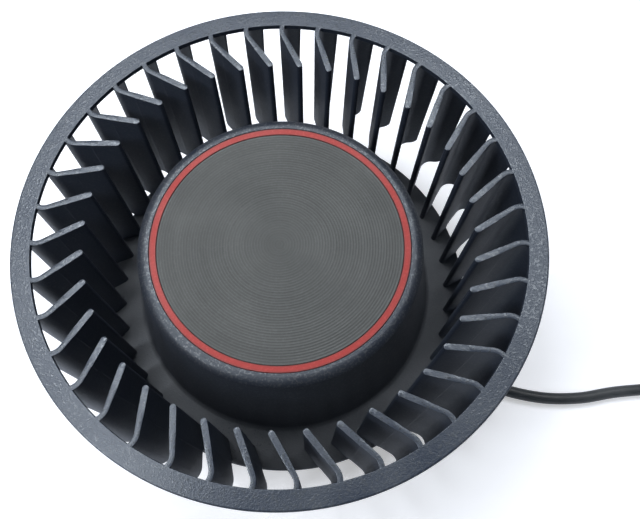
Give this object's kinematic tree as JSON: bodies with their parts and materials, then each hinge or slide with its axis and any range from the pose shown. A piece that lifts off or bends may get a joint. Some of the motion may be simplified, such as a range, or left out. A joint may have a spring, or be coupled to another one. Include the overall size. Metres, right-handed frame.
{
  "type": "graphics card fan",
  "caption": "Radial blower fan for a graphics card: black one-piece impeller with curved blades, a grooved hub face, a thin red ring and a short lead.",
  "frame": {"origin": "centre of the base face, on the spin axis", "axes": "+Z along the spin axis, from the base face towards the open eye; +X towards the side on which the lead leaves"},
  "size_m": [0.1285, 0.075, 0.03],
  "materials": {
    "charcoal_plastic": "glass-filled nylon with a fine spark-eroded grain",
    "face_plate": "dark grey plate with fine concentric grooves",
    "red_plastic": "satin red",
    "black_plastic": "matt black",
    "white_plastic": "natural off-white nylon",
    "steel": "zinc-plated sheet and ground bar",
    "magnet": "plastic-bonded ferrite",
    "brass": "turned brass",
    "copper_wire": "enamelled copper wire",
    "board_laminate": "green solder mask",
    "cable_sleeve": "satin dark grey sleeve"
  },
  "bodies": {
    "stator": {"base_plate": "charcoal_plastic", "threaded_inserts": "brass", "bottom_cap": "black_plastic", "thrust_pad": "white_plastic", "bearing_tube": "brass", "sleeve_bearing": "brass", "oil_seal": "white_plastic", "stator_core": "steel", "upper_insulator": "white_plastic", "lower_insulator": "white_plastic", "coils": "copper_wire", "terminal_pins": "brass", "circuit_board": "board_laminate", "driver_chip": "black_plastic", "hall_sensor": "black_plastic", "chip_parts": "white_plastic", "cable_clip": "black_plastic", "cable": "cable_sleeve", "connector_housing": "white_plastic", "connector_contacts": "brass"},
    "rotor": {"impeller_hub": "charcoal_plastic", "impeller_blades": "charcoal_plastic", "impeller_ring": "charcoal_plastic", "hub_disc": "face_plate", "accent_ring": "red_plastic", "rotor_yoke": "steel", "magnet_ring": "magnet", "shaft_bush": "brass", "shaft": "steel", "shaft_clip": "black_plastic"}
  },
  "joints": [
    {"name": "rotor_spin", "type": "hinge", "parent": "stator", "child": "rotor", "pos_m": [0, 0, 0], "axis": [0, 0, 1], "continuous": true}
  ]
}
